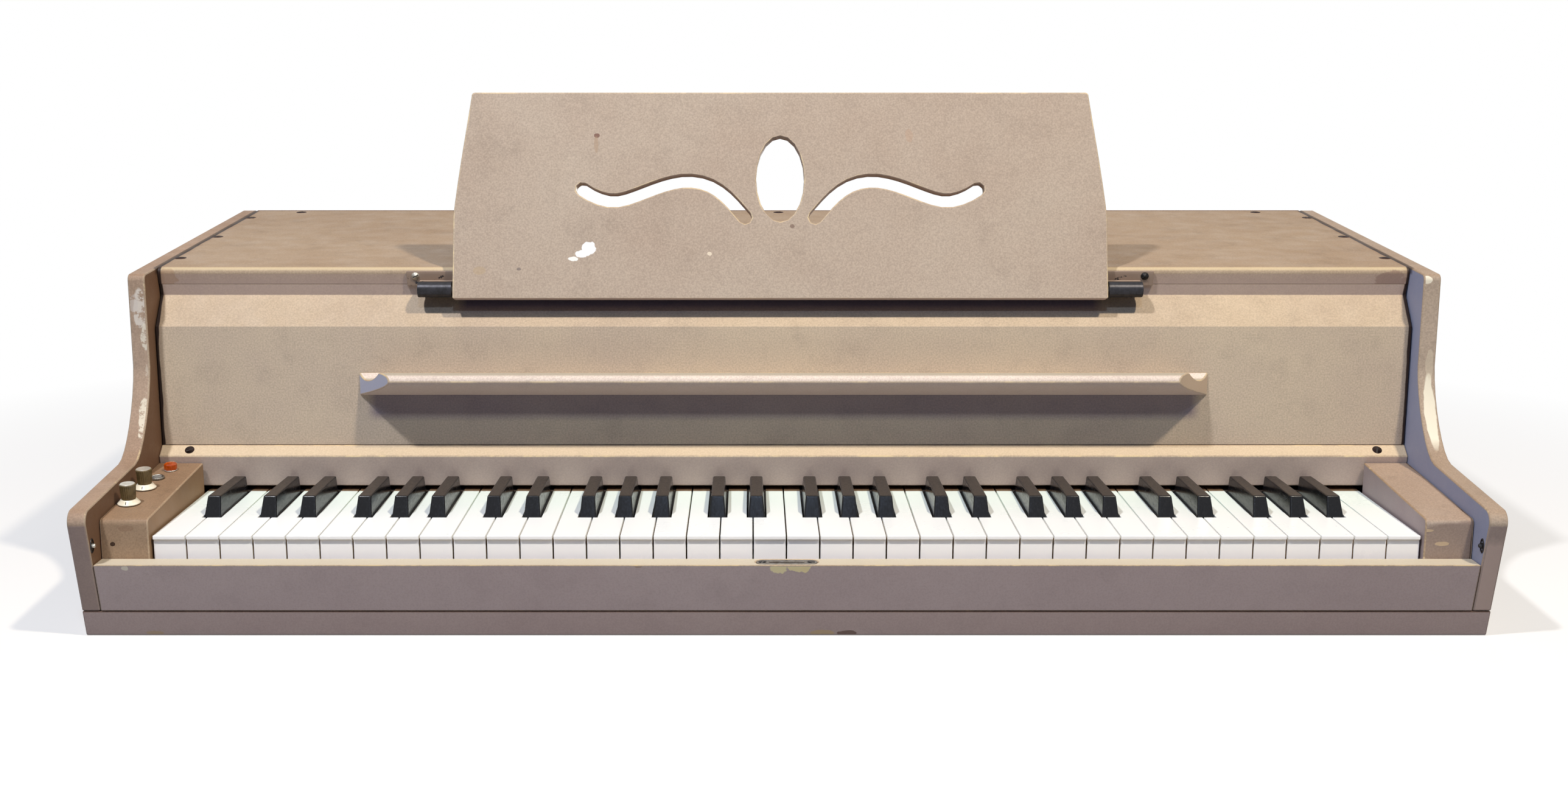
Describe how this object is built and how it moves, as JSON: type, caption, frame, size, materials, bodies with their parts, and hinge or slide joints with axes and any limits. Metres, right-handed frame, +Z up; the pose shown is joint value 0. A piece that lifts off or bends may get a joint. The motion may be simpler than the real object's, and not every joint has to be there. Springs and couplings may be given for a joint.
{
  "type": "electric piano",
  "caption": "Small electric piano in a beige speckled wooden case, with swept side arms, a full keyboard, a music ledge and a folding music desk with scroll cut-outs.",
  "frame": {"origin": "centre of the box round the piano, at the underside of the base board", "axes": "+X to the player's right along the keyboard, +Y from the player to the back, +Z up"},
  "size_m": [0.9896, 0.479, 0.374],
  "materials": {
    "painted_wood": "speckled beige paint",
    "hardboard": "plain hardboard",
    "raw_wood": "bare wood",
    "white_key": "glossy cool white cover on wood",
    "black_key": "glossy black cap on wood",
    "dark_steel": "dark steel",
    "grey_steel": "grey steel",
    "knob_plastic": "glossy dark brown plastic",
    "lamp_lens": "clear orange plastic"
  },
  "bodies": {
    "case": {"base_board": "painted_wood", "left_side_panel": "painted_wood", "right_side_panel": "painted_wood", "top_board": "painted_wood", "front_panel": "painted_wood", "music_ledge": "painted_wood", "fall_strip": "painted_wood", "key_slip": "painted_wood", "lock_plate": "grey_steel", "back_panel": "hardboard", "left_cheek_block": "painted_wood", "right_cheek_block": "painted_wood", "fuse_cap": "grey_steel", "pilot_lamp": "lamp_lens", "key_frame": "white_key", "back_rail": "black_key", "hammer_action": "raw_wood", "reed_bar": "grey_steel", "loudspeaker": "dark_steel", "amplifier": "grey_steel", "desk_bracket_left": "dark_steel", "desk_bracket_right": "dark_steel"},
    "music_desk": {"music_desk": "painted_wood"},
    "volume_knob": {"volume_knob": "knob_plastic"},
    "tremolo_knob": {"tremolo_knob": "knob_plastic"},
    "key_c3": {"key_c3": "white_key"},
    "key_c_sharp3": {"key_c_sharp3": "black_key"},
    "key_d3": {"key_d3": "white_key"},
    "key_d_sharp3": {"key_d_sharp3": "black_key"},
    "key_e3": {"key_e3": "white_key"},
    "key_f3": {"key_f3": "white_key"},
    "key_f_sharp3": {"key_f_sharp3": "black_key"},
    "key_g3": {"key_g3": "white_key"},
    "key_g_sharp3": {"key_g_sharp3": "black_key"},
    "key_a3": {"key_a3": "white_key"},
    "key_a_sharp3": {"key_a_sharp3": "black_key"},
    "key_b3": {"key_b3": "white_key"},
    "key_c4": {"key_c4": "white_key"},
    "key_c_sharp4": {"key_c_sharp4": "black_key"},
    "key_d4": {"key_d4": "white_key"},
    "key_d_sharp4": {"key_d_sharp4": "black_key"},
    "key_e4": {"key_e4": "white_key"},
    "key_f4": {"key_f4": "white_key"},
    "key_f_sharp4": {"key_f_sharp4": "black_key"},
    "key_g4": {"key_g4": "white_key"},
    "key_g_sharp4": {"key_g_sharp4": "black_key"},
    "key_a4": {"key_a4": "white_key"},
    "key_a_sharp4": {"key_a_sharp4": "black_key"},
    "key_b4": {"key_b4": "white_key"},
    "key_c5": {"key_c5": "white_key"},
    "key_c_sharp5": {"key_c_sharp5": "black_key"},
    "key_d5": {"key_d5": "white_key"},
    "key_d_sharp5": {"key_d_sharp5": "black_key"},
    "key_e5": {"key_e5": "white_key"},
    "key_f5": {"key_f5": "white_key"},
    "key_f_sharp5": {"key_f_sharp5": "black_key"},
    "key_g5": {"key_g5": "white_key"},
    "key_g_sharp5": {"key_g_sharp5": "black_key"},
    "key_a5": {"key_a5": "white_key"},
    "key_a_sharp5": {"key_a_sharp5": "black_key"}
  },
  "joints": [
    {"name": "desk_fold", "type": "hinge", "parent": "case", "child": "music_desk", "pos_m": [-0.0027, -0.06612, 0.22604], "axis": [1, 0, 0], "range_deg": [0, 160]},
    {"name": "volume_turn", "type": "hinge", "parent": "case", "child": "volume_knob", "pos_m": [-0.4714, -0.18032, 0.086], "axis": [0, -0.0732, 0.9973], "range_deg": [-150, 150]},
    {"name": "tremolo_turn", "type": "hinge", "parent": "case", "child": "tremolo_knob", "pos_m": [-0.4714, -0.14432, 0.08864], "axis": [0, -0.0732, 0.9973], "range_deg": [-150, 150]},
    {"name": "press_c3", "type": "hinge", "parent": "case", "child": "key_c3", "pos_m": [-0.22325, -0.01072, 0.0493], "axis": [1, 0, 0], "range_deg": [0, 2.75], "stiffness_Nm_per_rad": 0.6, "springref_deg": -11.46},
    {"name": "press_c_sharp3", "type": "hinge", "parent": "case", "child": "key_c_sharp3", "pos_m": [-0.21408, -0.01072, 0.0493], "axis": [1, 0, 0], "range_deg": [0, 2.75], "stiffness_Nm_per_rad": 0.6, "springref_deg": -11.46},
    {"name": "press_d3", "type": "hinge", "parent": "case", "child": "key_d3", "pos_m": [-0.19975, -0.01072, 0.0493], "axis": [1, 0, 0], "range_deg": [0, 2.75], "stiffness_Nm_per_rad": 0.6, "springref_deg": -11.46},
    {"name": "press_d_sharp3", "type": "hinge", "parent": "case", "child": "key_d_sharp3", "pos_m": [-0.18541, -0.01072, 0.0493], "axis": [1, 0, 0], "range_deg": [0, 2.75], "stiffness_Nm_per_rad": 0.6, "springref_deg": -11.46},
    {"name": "press_e3", "type": "hinge", "parent": "case", "child": "key_e3", "pos_m": [-0.17625, -0.01072, 0.0493], "axis": [1, 0, 0], "range_deg": [0, 2.75], "stiffness_Nm_per_rad": 0.6, "springref_deg": -11.46},
    {"name": "press_f3", "type": "hinge", "parent": "case", "child": "key_f3", "pos_m": [-0.15275, -0.01072, 0.0493], "axis": [1, 0, 0], "range_deg": [0, 2.75], "stiffness_Nm_per_rad": 0.6, "springref_deg": -11.46},
    {"name": "press_f_sharp3", "type": "hinge", "parent": "case", "child": "key_f_sharp3", "pos_m": [-0.14452, -0.01072, 0.0493], "axis": [1, 0, 0], "range_deg": [0, 2.75], "stiffness_Nm_per_rad": 0.6, "springref_deg": -11.46},
    {"name": "press_g3", "type": "hinge", "parent": "case", "child": "key_g3", "pos_m": [-0.12925, -0.01072, 0.0493], "axis": [1, 0, 0], "range_deg": [0, 2.75], "stiffness_Nm_per_rad": 0.6, "springref_deg": -11.46},
    {"name": "press_g_sharp3", "type": "hinge", "parent": "case", "child": "key_g_sharp3", "pos_m": [-0.1175, -0.01072, 0.0493], "axis": [1, 0, 0], "range_deg": [0, 2.75], "stiffness_Nm_per_rad": 0.6, "springref_deg": -11.46},
    {"name": "press_a3", "type": "hinge", "parent": "case", "child": "key_a3", "pos_m": [-0.10575, -0.01072, 0.0493], "axis": [1, 0, 0], "range_deg": [0, 2.75], "stiffness_Nm_per_rad": 0.6, "springref_deg": -11.46},
    {"name": "press_a_sharp3", "type": "hinge", "parent": "case", "child": "key_a_sharp3", "pos_m": [-0.09047, -0.01072, 0.0493], "axis": [1, 0, 0], "range_deg": [0, 2.75], "stiffness_Nm_per_rad": 0.6, "springref_deg": -11.46},
    {"name": "press_b3", "type": "hinge", "parent": "case", "child": "key_b3", "pos_m": [-0.08225, -0.01072, 0.0493], "axis": [1, 0, 0], "range_deg": [0, 2.75], "stiffness_Nm_per_rad": 0.6, "springref_deg": -11.46},
    {"name": "press_c4", "type": "hinge", "parent": "case", "child": "key_c4", "pos_m": [-0.05875, -0.01072, 0.0493], "axis": [1, 0, 0], "range_deg": [0, 2.75], "stiffness_Nm_per_rad": 0.6, "springref_deg": -11.46},
    {"name": "press_c_sharp4", "type": "hinge", "parent": "case", "child": "key_c_sharp4", "pos_m": [-0.04958, -0.01072, 0.0493], "axis": [1, 0, 0], "range_deg": [0, 2.75], "stiffness_Nm_per_rad": 0.6, "springref_deg": -11.46},
    {"name": "press_d4", "type": "hinge", "parent": "case", "child": "key_d4", "pos_m": [-0.03525, -0.01072, 0.0493], "axis": [1, 0, 0], "range_deg": [0, 2.75], "stiffness_Nm_per_rad": 0.6, "springref_deg": -11.46},
    {"name": "press_d_sharp4", "type": "hinge", "parent": "case", "child": "key_d_sharp4", "pos_m": [-0.02091, -0.01072, 0.0493], "axis": [1, 0, 0], "range_deg": [0, 2.75], "stiffness_Nm_per_rad": 0.6, "springref_deg": -11.46},
    {"name": "press_e4", "type": "hinge", "parent": "case", "child": "key_e4", "pos_m": [-0.01175, -0.01072, 0.0493], "axis": [1, 0, 0], "range_deg": [0, 2.75], "stiffness_Nm_per_rad": 0.6, "springref_deg": -11.46},
    {"name": "press_f4", "type": "hinge", "parent": "case", "child": "key_f4", "pos_m": [0.01175, -0.01072, 0.0493], "axis": [1, 0, 0], "range_deg": [0, 2.75], "stiffness_Nm_per_rad": 0.6, "springref_deg": -11.46},
    {"name": "press_f_sharp4", "type": "hinge", "parent": "case", "child": "key_f_sharp4", "pos_m": [0.01997, -0.01072, 0.0493], "axis": [1, 0, 0], "range_deg": [0, 2.75], "stiffness_Nm_per_rad": 0.6, "springref_deg": -11.46},
    {"name": "press_g4", "type": "hinge", "parent": "case", "child": "key_g4", "pos_m": [0.03525, -0.01072, 0.0493], "axis": [1, 0, 0], "range_deg": [0, 2.75], "stiffness_Nm_per_rad": 0.6, "springref_deg": -11.46},
    {"name": "press_g_sharp4", "type": "hinge", "parent": "case", "child": "key_g_sharp4", "pos_m": [0.047, -0.01072, 0.0493], "axis": [1, 0, 0], "range_deg": [0, 2.75], "stiffness_Nm_per_rad": 0.6, "springref_deg": -11.46},
    {"name": "press_a4", "type": "hinge", "parent": "case", "child": "key_a4", "pos_m": [0.05875, -0.01072, 0.0493], "axis": [1, 0, 0], "range_deg": [0, 2.75], "stiffness_Nm_per_rad": 0.6, "springref_deg": -11.46},
    {"name": "press_a_sharp4", "type": "hinge", "parent": "case", "child": "key_a_sharp4", "pos_m": [0.07402, -0.01072, 0.0493], "axis": [1, 0, 0], "range_deg": [0, 2.75], "stiffness_Nm_per_rad": 0.6, "springref_deg": -11.46},
    {"name": "press_b4", "type": "hinge", "parent": "case", "child": "key_b4", "pos_m": [0.08225, -0.01072, 0.0493], "axis": [1, 0, 0], "range_deg": [0, 2.75], "stiffness_Nm_per_rad": 0.6, "springref_deg": -11.46},
    {"name": "press_c5", "type": "hinge", "parent": "case", "child": "key_c5", "pos_m": [0.10575, -0.01072, 0.0493], "axis": [1, 0, 0], "range_deg": [0, 2.75], "stiffness_Nm_per_rad": 0.6, "springref_deg": -11.46},
    {"name": "press_c_sharp5", "type": "hinge", "parent": "case", "child": "key_c_sharp5", "pos_m": [0.11492, -0.01072, 0.0493], "axis": [1, 0, 0], "range_deg": [0, 2.75], "stiffness_Nm_per_rad": 0.6, "springref_deg": -11.46},
    {"name": "press_d5", "type": "hinge", "parent": "case", "child": "key_d5", "pos_m": [0.12925, -0.01072, 0.0493], "axis": [1, 0, 0], "range_deg": [0, 2.75], "stiffness_Nm_per_rad": 0.6, "springref_deg": -11.46},
    {"name": "press_d_sharp5", "type": "hinge", "parent": "case", "child": "key_d_sharp5", "pos_m": [0.14358, -0.01072, 0.0493], "axis": [1, 0, 0], "range_deg": [0, 2.75], "stiffness_Nm_per_rad": 0.6, "springref_deg": -11.46},
    {"name": "press_e5", "type": "hinge", "parent": "case", "child": "key_e5", "pos_m": [0.15275, -0.01072, 0.0493], "axis": [1, 0, 0], "range_deg": [0, 2.75], "stiffness_Nm_per_rad": 0.6, "springref_deg": -11.46},
    {"name": "press_f5", "type": "hinge", "parent": "case", "child": "key_f5", "pos_m": [0.17625, -0.01072, 0.0493], "axis": [1, 0, 0], "range_deg": [0, 2.75], "stiffness_Nm_per_rad": 0.6, "springref_deg": -11.46},
    {"name": "press_f_sharp5", "type": "hinge", "parent": "case", "child": "key_f_sharp5", "pos_m": [0.18448, -0.01072, 0.0493], "axis": [1, 0, 0], "range_deg": [0, 2.75], "stiffness_Nm_per_rad": 0.6, "springref_deg": -11.46},
    {"name": "press_g5", "type": "hinge", "parent": "case", "child": "key_g5", "pos_m": [0.19975, -0.01072, 0.0493], "axis": [1, 0, 0], "range_deg": [0, 2.75], "stiffness_Nm_per_rad": 0.6, "springref_deg": -11.46},
    {"name": "press_g_sharp5", "type": "hinge", "parent": "case", "child": "key_g_sharp5", "pos_m": [0.2115, -0.01072, 0.0493], "axis": [1, 0, 0], "range_deg": [0, 2.75], "stiffness_Nm_per_rad": 0.6, "springref_deg": -11.46},
    {"name": "press_a5", "type": "hinge", "parent": "case", "child": "key_a5", "pos_m": [0.22325, -0.01072, 0.0493], "axis": [1, 0, 0], "range_deg": [0, 2.75], "stiffness_Nm_per_rad": 0.6, "springref_deg": -11.46},
    {"name": "press_a_sharp5", "type": "hinge", "parent": "case", "child": "key_a_sharp5", "pos_m": [0.23852, -0.01072, 0.0493], "axis": [1, 0, 0], "range_deg": [0, 2.75], "stiffness_Nm_per_rad": 0.6, "springref_deg": -11.46}
  ]
}
